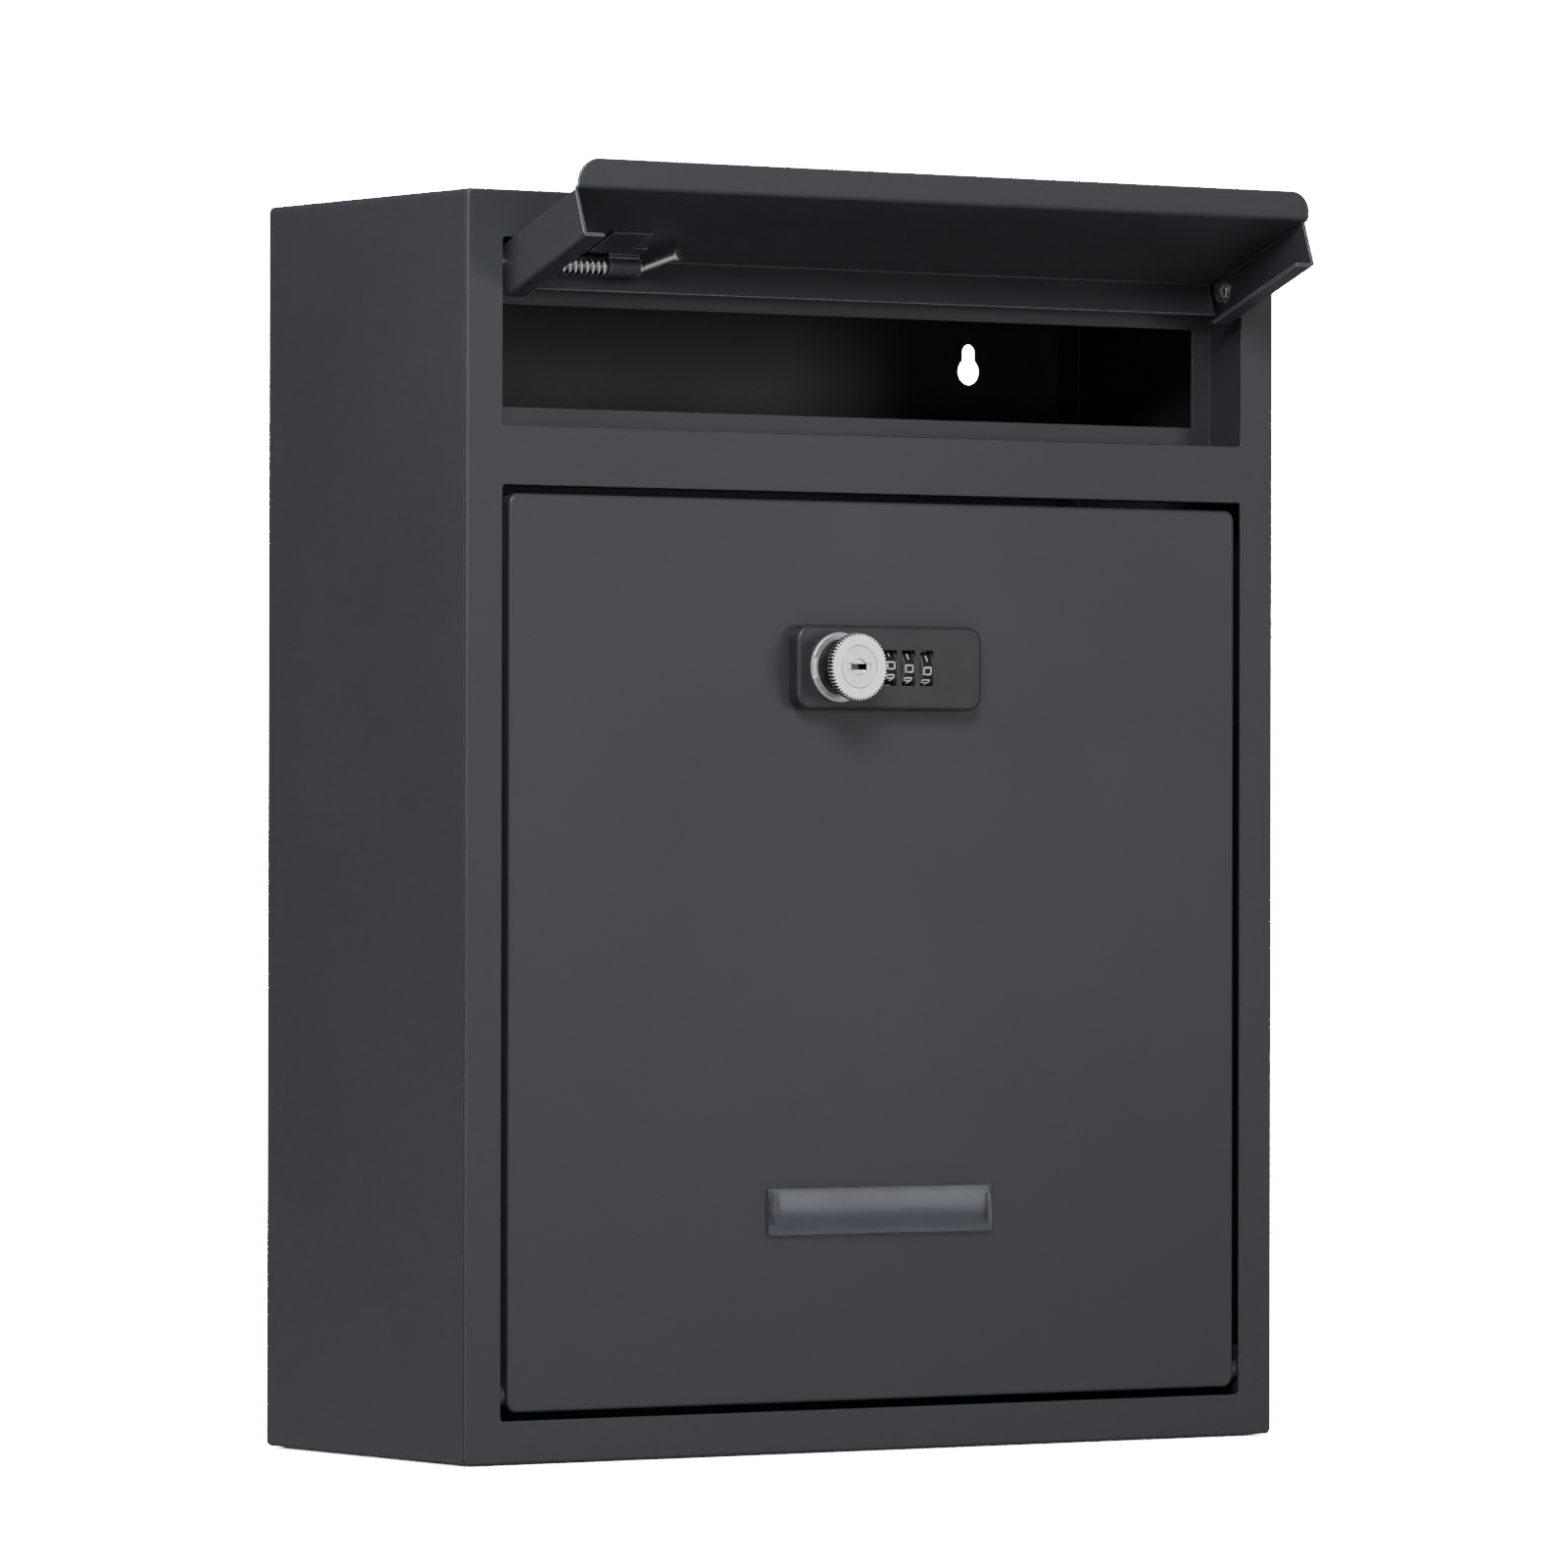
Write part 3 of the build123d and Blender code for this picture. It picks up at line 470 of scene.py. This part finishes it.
def radius_squared(tree, parts):
    """The square of the distance from the knob's axis."""
    across = math_node(tree, "MULTIPLY", (parts, "X"), (parts, "X"))
    upward = math_node(tree, "MULTIPLY", (parts, "Z"), (parts, "Z"))
    return math_node(tree, "ADD", (across, 0), (upward, 0))


def lay_colour(tree, shader, mask, colour):
    """Lay one more colour over the shader's own where a mask is one."""
    under = shader.inputs["Base Color"].links[0].from_node
    laid = colour_mix(tree, (mask, 0), (under, 2), colour)
    wire(tree, laid, 2, shader, "Base Color")


def turned_material(name, tone, dull, ring_scale, relief):
    """A turned metal face, ringed about the knob's axis."""
    made, tree, shader = new_material(name)
    where = tree.nodes.new("ShaderNodeTexCoord")
    radius = math_node(tree, "SQRT", (radius_squared(tree, knob_axes(tree)), 0))
    rings = tree.nodes.new("ShaderNodeTexNoise")
    rings.noise_dimensions = "1D"
    rings.inputs["Scale"].default_value = ring_scale
    rings.inputs["Detail"].default_value = 3.0
    wire(tree, radius, 0, rings, "W")
    patches = noise_node(tree, where, 300.0, 3.0)
    deep = tuple(c * 0.86 for c in tone[:3]) + (1,)
    vary_colour(tree, shader, rings, deep, tone)
    spread = math_node(tree, "MULTIPLY", (rings, "Fac"), 0.12)
    haze = math_node(tree, "MULTIPLY", (patches, "Fac"), 0.08)
    both = math_node(tree, "ADD", (spread, 0), (haze, 0))
    rough = math_node(tree, "ADD", (both, 0), dull, clamp=True)
    wire(tree, rough, 0, shader, "Roughness")
    shader.inputs["Metallic"].default_value = 1.0
    bump(tree, shader, rings, "Fac", 0.15, relief)
    return made, tree, shader


satin_chrome, tree, shader = turned_material(
    "satin_chrome", (0.95, 0.955, 0.96, 1), 0.2, 4200.0, 0.02 * MM
)
parts = knob_axes(tree)
# Painted shade: the gaps between the teeth, past their root, are darkened.
angle = math_node(tree, "ARCTAN2", (parts, "Z"), (parts, "X"))
turned = math_node(tree, "MULTIPLY", (angle, 0), TEETH)
wave = math_node(tree, "COSINE", (turned, 0))
in_gap = math_node(tree, "GREATER_THAN", (wave, 0), 0.0)
past_root = math_node(tree, "GREATER_THAN", (radius_squared(tree, parts), 0), TOOTH_ROOT**2)
tooth_gap_shade = math_node(tree, "MULTIPLY", (in_gap, 0), (past_root, 0))
lay_colour(tree, shader, tooth_gap_shade, TOOTH_GAP_SHADE)

nickel, tree, shader = turned_material(
    "nickel_plug", (0.84, 0.845, 0.85, 1), 0.2, 3000.0, 0.02 * MM
)
parts = knob_axes(tree)
across_size = math_node(tree, "ABSOLUTE", (parts, "X"))
upward_size = math_node(tree, "ABSOLUTE", (parts, "Z"))
in_width = math_node(tree, "LESS_THAN", (across_size, 0), KEYWAY_HALF_WIDTH)
in_height = math_node(tree, "LESS_THAN", (upward_size, 0), KEYWAY_HALF_HEIGHT)
in_depth = math_node(tree, "GREATER_THAN", (parts, "Y"), disc_low.y + KEYWAY_STEP)
in_slot = math_node(tree, "MULTIPLY", (in_width, 0), (in_height, 0))
keyway_shade = math_node(tree, "MULTIPLY", (in_slot, 0), (in_depth, 0))
# Painted shade: the sunk keyway is coloured near black.
lay_colour(tree, shader, keyway_shade, KEYWAY_SHADE)
finish_nodes(satin_chrome, "knob_disc")
finish_nodes(nickel, "key_plug")


# ---- Knob neck and its knurled sleeve ----
# A black coated casting. The fingers' grip is a diamond knurl rolled round the neck, and its
# points wear to a soft shine.
neck_black = moulded_material("neck_black", (0.012, 0.012, 0.013, 1), 0.2, 2400.0, 0.03 * MM)
finish_nodes(neck_black, "knob_spindle")
NECK_SMALL = 8.65 * MM
NECK_LARGE = 9.3 * MM
KNURL_COLUMNS = 72
KNURL_ROWS = 11
KNURL_HEIGHT = 0.32 * MM
knurl_front = disc_high.y + 0.4 * MM
knurl_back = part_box("lock_collar")[0].y - 0.3 * MM
deselect()
bpy.ops.mesh.primitive_cone_add(
    vertices=KNURL_COLUMNS,
    radius1=NECK_SMALL,
    radius2=NECK_LARGE,
    depth=knurl_back - knurl_front,
    end_fill_type="NGON",
    location=(disc_centre.x, (knurl_front + knurl_back) / 2, disc_centre.z),
    rotation=(math.radians(90), 0, 0),
)
knurl = named("neck_knurl")
bpy.ops.object.transform_apply(location=True, rotation=True, scale=True)
bpy.ops.object.mode_set(mode="EDIT")
bpy.ops.mesh.select_all(action="DESELECT")
bpy.ops.object.mode_set(mode="OBJECT")
bpy.context.tool_settings.mesh_select_mode = (False, True, False)
for line in knurl.data.edges:
    ends = [knurl.data.vertices[i].co for i in line.vertices]
    line.select = abs(ends[0].y - ends[1].y) > 1 * MM
bpy.ops.object.mode_set(mode="EDIT")
bpy.ops.mesh.subdivide(number_cuts=KNURL_ROWS)
bpy.ops.mesh.select_all(action="DESELECT")
bpy.ops.object.mode_set(mode="OBJECT")
bpy.context.tool_settings.mesh_select_mode = (True, False, False)
row_height = (knurl_back - knurl_front) / (KNURL_ROWS + 1)
for point in knurl.data.vertices:
    row = round((point.co.y - knurl_front) / row_height)
    angle = math.atan2(point.co.x - disc_centre.x, point.co.z - disc_centre.z)
    column = round(angle / (2 * math.pi) * KNURL_COLUMNS)
    point.select = 0 < row <= KNURL_ROWS and (row + column) % 2 == 0
bpy.ops.object.mode_set(mode="EDIT")
bpy.ops.transform.shrink_fatten(value=KNURL_HEIGHT)
face_outwards()
settle(knurl, "knob", neck_black)


# ---- Dials and their digits ----
# Black moulded wheels on one axle, with ten white digits printed round each. They show through
# slots in the plate, and their rims at each side are a little worn.
DIAL_PITCH = 7.15 * MM
RIM_START = 2.0 * MM
RIM_WORN = (0.1, 0.1, 0.102, 1)
dial_black = moulded_material("dial_black", (0.006, 0.006, 0.0065, 1), 0.5, 2400.0, 0.03 * MM)
first_low, first_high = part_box("dial_1")
tree = dial_black.node_tree
shader = tree.nodes["Principled BSDF"]
where = tree.nodes.new("ShaderNodeTexCoord")
parts = tree.nodes.new("ShaderNodeSeparateXYZ")
wire(tree, where, "Object", parts, 0)
from_first = math_node(tree, "SUBTRACT", (parts, "X"), (first_low.x + first_high.x) / 2)
swung = math_node(tree, "PINGPONG", (from_first, 0), DIAL_PITCH / 2)
on_rim = math_node(tree, "GREATER_THAN", (swung, 0), RIM_START)
lay_colour(tree, shader, on_rim, RIM_WORN)

# Each digit is a set of lines in a unit square, drawn as one round stroke and wrapped on the dial.
DIGIT_WIDTH = 2.75 * MM
DIGIT_HEIGHT = 2.2 * MM
DIGIT_STROKE = 0.3 * MM
DIGIT_SUNK = 0.3 * MM
DIGIT_PROUD = 0.02 * MM
DIGIT_FLATNESS = 0.12
DIGIT_STEP = math.radians(36)
STROKE_STEPS = 6
DIALS = ("first_dial", "second_dial", "third_dial")
DIAL_TURN = (6.7, -1.6, -8.0)
DIGIT_LINES = (
    (((0, 0), (1, 0), (1, 1), (0, 1), (0, 0), (0.4, 0)),),
    (((0.5, 0), (0.5, 1)),),
    (((0, 1), (1, 1), (1, 0.5), (0, 0.5), (0, 0), (1, 0)),),
    (((0, 1), (1, 1), (1, 0), (0, 0)), ((0.2, 0.5), (1, 0.5))),
    (((0, 1), (0, 0.45), (1, 0.45)), ((1, 1), (1, 0))),
    (((1, 1), (0, 1), (0, 0.5), (1, 0.5), (1, 0), (0, 0)),),
    (((1, 1), (0, 1), (0, 0), (1, 0), (1, 0.5), (0, 0.5)),),
    (((0, 1), (1, 1), (0.4, 0)),),
    (((0, 0), (1, 0), (1, 1), (0, 1), (0, 0), (0.4, 0)), ((0, 0.5), (1, 0.5))),
    (((1, 0.5), (0, 0.5), (0, 1), (1, 1), (1, 0.5), (0.5, 0)),),
)
digit_white, tree, shader = new_material("digit_white")
where = tree.nodes.new("ShaderNodeTexCoord")
wear = noise_node(tree, where, 1500.0, 3.0)
vary_colour(tree, shader, wear, (0.86, 0.87, 0.87, 1), (0.97, 0.97, 0.97, 1))
vary_roughness(tree, shader, wear, 0.3, 0.3)
bump(tree, shader, wear, "Fac", 0.2, 0.02 * MM)

for dial, (body, tilt) in enumerate(zip(DIALS, DIAL_TURN), 1):
    finish_nodes(dial_black, f"dial_{dial}")
    low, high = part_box(f"dial_{dial}")
    centre = (low + high) / 2
    print_radius = (high.z - low.z) / 2 - DIGIT_SUNK
    printed = []
    for digit, lines in enumerate(DIGIT_LINES):
        drawn = bpy.data.curves.new("stroke", "CURVE")
        drawn.dimensions = "3D"
        drawn.bevel_depth = DIGIT_STROKE
        drawn.bevel_resolution = 1
        drawn.use_fill_caps = True
        for line in lines:
            points = []
            for start, stop in zip(line, line[1:]):
                run, rise = stop[0] - start[0], stop[1] - start[1]
                for k in range(STROKE_STEPS):
                    across = start[0] + run * k / STROKE_STEPS
                    up = start[1] + rise * k / STROKE_STEPS
                    points.append((across, up))
            points.append(line[-1])
            spline = drawn.splines.new("POLY")
            spline.points.add(len(points) - 1)
            for place, (across, up) in zip(spline.points, points):
                place.co = ((across - 0.5) * DIGIT_WIDTH, (up - 0.5) * DIGIT_HEIGHT, 0, 1)
        holder = bpy.data.objects.new("stroke", drawn)
        bpy.context.scene.collection.objects.link(holder)
        pick(holder)
        bpy.ops.object.convert(target="MESH")
        shape = bpy.context.object
        angle_middle = digit * DIGIT_STEP + math.radians(tilt)
        for point in shape.data.vertices:
            angle = angle_middle + point.co.y / print_radius
            reach = print_radius + DIGIT_PROUD + point.co.z * DIGIT_FLATNESS
            point.co = Vector(
                (
                    centre.x + point.co.x,
                    centre.y - reach * math.cos(angle),
                    centre.z + reach * math.sin(angle),
                )
            )
        printed.append(shape)
    deselect()
    for shape in printed:
        shape.select_set(True)
    bpy.context.view_layer.objects.active = printed[0]
    bpy.ops.object.join()
    digits = named(f"dial_{dial}_digits")
    settle(digits, body, digit_white)


# ---- Label window ----
# A clear moulding, slightly crowned, with a rolled rib along each edge and a curled tab at each
# end that springs into the door. It carries no label.
WINDOW_STAND = 0.9 * MM
WINDOW_WALL = 0.8 * MM
WINDOW_CROWN = 0.75 * MM
RIB_HEIGHT = 0.28 * MM
TAB_HEIGHT = 0.5 * MM
END_START = 0.97
window_low, window_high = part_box("label_window")
window_centre = (window_low + window_high) / 2
deselect()
bpy.ops.mesh.primitive_grid_add(
    x_subdivisions=60,
    y_subdivisions=24,
    size=1,
    location=(window_centre.x, 0, window_centre.z),
    rotation=(math.radians(90), 0, 0),
)
window = named("window_cover")
window.scale = (window_high.x - window_low.x, window_high.z - window_low.z, 1)
bpy.ops.object.transform_apply(location=True, rotation=True, scale=True)
half_height = (window_high.z - window_low.z) / 2
half_length = (window_high.x - window_low.x) / 2
door_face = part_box("door_pan")[0].y
for point in window.data.vertices:
    up = (point.co.z - window_centre.z) / half_height
    along = abs(point.co.x - window_centre.x) / half_length
    crown = WINDOW_CROWN * (1 - up * up)
    rib = RIB_HEIGHT * math.exp(-(((abs(up) - 0.9) / 0.05) ** 2))
    tab = TAB_HEIGHT * math.exp(-(((along - 0.965) / 0.012) ** 2))
    end = max(0.0, (along - END_START) / (1 - END_START))
    raised = (crown + rib) * (1 - 0.75 * end) + tab * (1 - up * up * 0.4)
    point.co.y = door_face - WINDOW_STAND - raised + TAB_HEIGHT * end
wall = window.modifiers.new("wall", "SOLIDIFY")
wall.thickness = WINDOW_WALL
wall.offset = 0
wall.use_even_offset = True
soft = window.modifiers.new("soft", "SUBSURF")
soft.levels = 1
soft.render_levels = 1
apply_modifiers(window)
face_outwards()
bpy.ops.object.shade_smooth()
clear, tree, shader = new_material("clear_moulding")
where = tree.nodes.new("ShaderNodeTexCoord")
flow = noise_node(tree, where, 90.0, 3.0, (0.3, 1.0, 1.0))
vary_colour(tree, shader, flow, (0.82, 0.87, 0.97, 1), (0.9, 0.93, 0.99, 1))
vary_roughness(tree, shader, flow, 0.1, 0.16)
shader.inputs["Metallic"].default_value = 0.0
shader.inputs["Transmission Weight"].default_value = 0.985
shader.inputs["IOR"].default_value = 1.45
settle(window, "door", clear)
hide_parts("label_window")


# ---- Studio: white floor, soft boxes and camera ----
# A seamless white floor and backdrop. A key soft box stands high in front on the left, a large
# one at the side fills the body's flank, and two weak ones in front, one low and one on the
# right, are mirrored in the metal.
FLOOR_SIZE = 14.0
FLOOR_DROP = 0.5 * MM
CONTACT_SHADOW_REACH = 12 * MM
BACKDROP = 40.0


def show_to_camera(tree, lit, shown, output):
    """Show one shader to the camera alone and another to everything else."""
    seen = tree.nodes.new("ShaderNodeLightPath")
    both = tree.nodes.new("ShaderNodeMixShader")
    wire(tree, seen, "Is Camera Ray", both, 0)
    wire(tree, lit, 0, both, 1)
    wire(tree, shown, 0, both, 2)
    wire(tree, both, 0, tree.nodes[output], "Surface")


deselect()
bpy.ops.mesh.primitive_plane_add(size=FLOOR_SIZE, location=(0, 0, -FLOOR_DROP))
floor = named("studio_floor")
floor_paint, tree, shader = new_material("floor_paint")
where = tree.nodes.new("ShaderNodeTexCoord")
scuffs = noise_node(tree, where, 3.0, 4.0)
vary_colour(tree, shader, scuffs, (0.44, 0.44, 0.445, 1), (0.5, 0.5, 0.505, 1))
shader.inputs["Roughness"].default_value = 0.9
shader.inputs["Specular IOR Level"].default_value = 0.1
# Painted contact shadow: the floor's glow, seen by the camera alone, dims by ambient occlusion
# near the box.
near = tree.nodes.new("ShaderNodeAmbientOcclusion")
near.samples = 8
near.inputs["Distance"].default_value = CONTACT_SHADOW_REACH
contact_shadow = math_node(tree, "POWER", (near, "AO"), 1.5)
strength = math_node(tree, "MULTIPLY", (contact_shadow, 0), BACKDROP)
lift = tree.nodes.new("ShaderNodeEmission")
wire(tree, strength, 0, lift, "Strength")
show_to_camera(tree, shader, lift, "Material Output")
floor.data.materials.append(floor_paint)

studio = bpy.data.worlds.new("studio")
bpy.context.scene.world = studio
studio.use_nodes = True
tree = studio.node_tree
where = tree.nodes.new("ShaderNodeTexCoord")
parts = tree.nodes.new("ShaderNodeSeparateXYZ")
wire(tree, where, "Generated", parts, 0)
rising = math_node(tree, "MULTIPLY", (parts, "Z"), 0.26)
dome = math_node(tree, "ADD", (rising, 0), 0.09, clamp=True)
room = tree.nodes["Background"]
room.inputs["Color"].default_value = (0.96, 0.98, 1.0, 1)
wire(tree, dome, 0, room, "Strength")
backdrop = tree.nodes.new("ShaderNodeBackground")
backdrop.inputs["Color"].default_value = (1, 1, 1, 1)
backdrop.inputs["Strength"].default_value = BACKDROP
show_to_camera(tree, room, backdrop, "World Output")

# Each soft box: its name, place, aim, width, height and power.
SOFT_BOXES = (
    ("box_key_left", (-0.5, -0.85, 0.93), (-0.12, -0.06, 0.34), 0.5, 0.4, 12.8),
    ("box_side_left", (-2.0, 0.1, 0.8), (-0.15, 0.0, 0.2), 1.2, 1.2, 20.0),
    ("box_mirror_right", (1.3, -1.95, 0.4), (-0.02, -0.06, 0.25), 0.65, 0.75, 4.0),
    ("box_low_front", (-0.5, -2.2, 0.15), (0.0, -0.06, 0.3), 0.5, 0.4, 3.5),
)
for name, place, aim, width, height, power in SOFT_BOXES:
    lamp = bpy.data.lights.new(name, "AREA")
    lamp.shape = "RECTANGLE"
    lamp.size = width
    lamp.size_y = height
    lamp.energy = power
    holder = bpy.data.objects.new(name, lamp)
    bpy.context.scene.collection.objects.link(holder)
    holder.location = place
    holder.rotation_euler = (Vector(aim) - Vector(place)).to_track_quat("-Z", "Y").to_euler()

CAMERA_PLACE = (-1.8123, -2.6764, 0.1973)
CAMERA_SWING = math.radians(-34.15)
CAMERA_TILT = math.radians(0.30)
CAMERA_ROLL = math.radians(-0.12)
view = bpy.data.cameras.new("view")
view.sensor_width = 36.0
view.lens = 227.15
view.clip_end = 60.0
camera = bpy.data.objects.new("view", view)
bpy.context.scene.collection.objects.link(camera)
swing = (
    Matrix.Rotation(CAMERA_SWING, 3, "Z")
    @ Matrix.Rotation(CAMERA_TILT, 3, "X")
    @ Matrix.Rotation(CAMERA_ROLL, 3, "Y")
)
right, ahead, up = swing.col[0], swing.col[1], swing.col[2]
turned = Matrix((right, up, -ahead)).transposed()
camera.matrix_world = Matrix.Translation(CAMERA_PLACE) @ turned.to_4x4()
bpy.context.scene.camera = camera
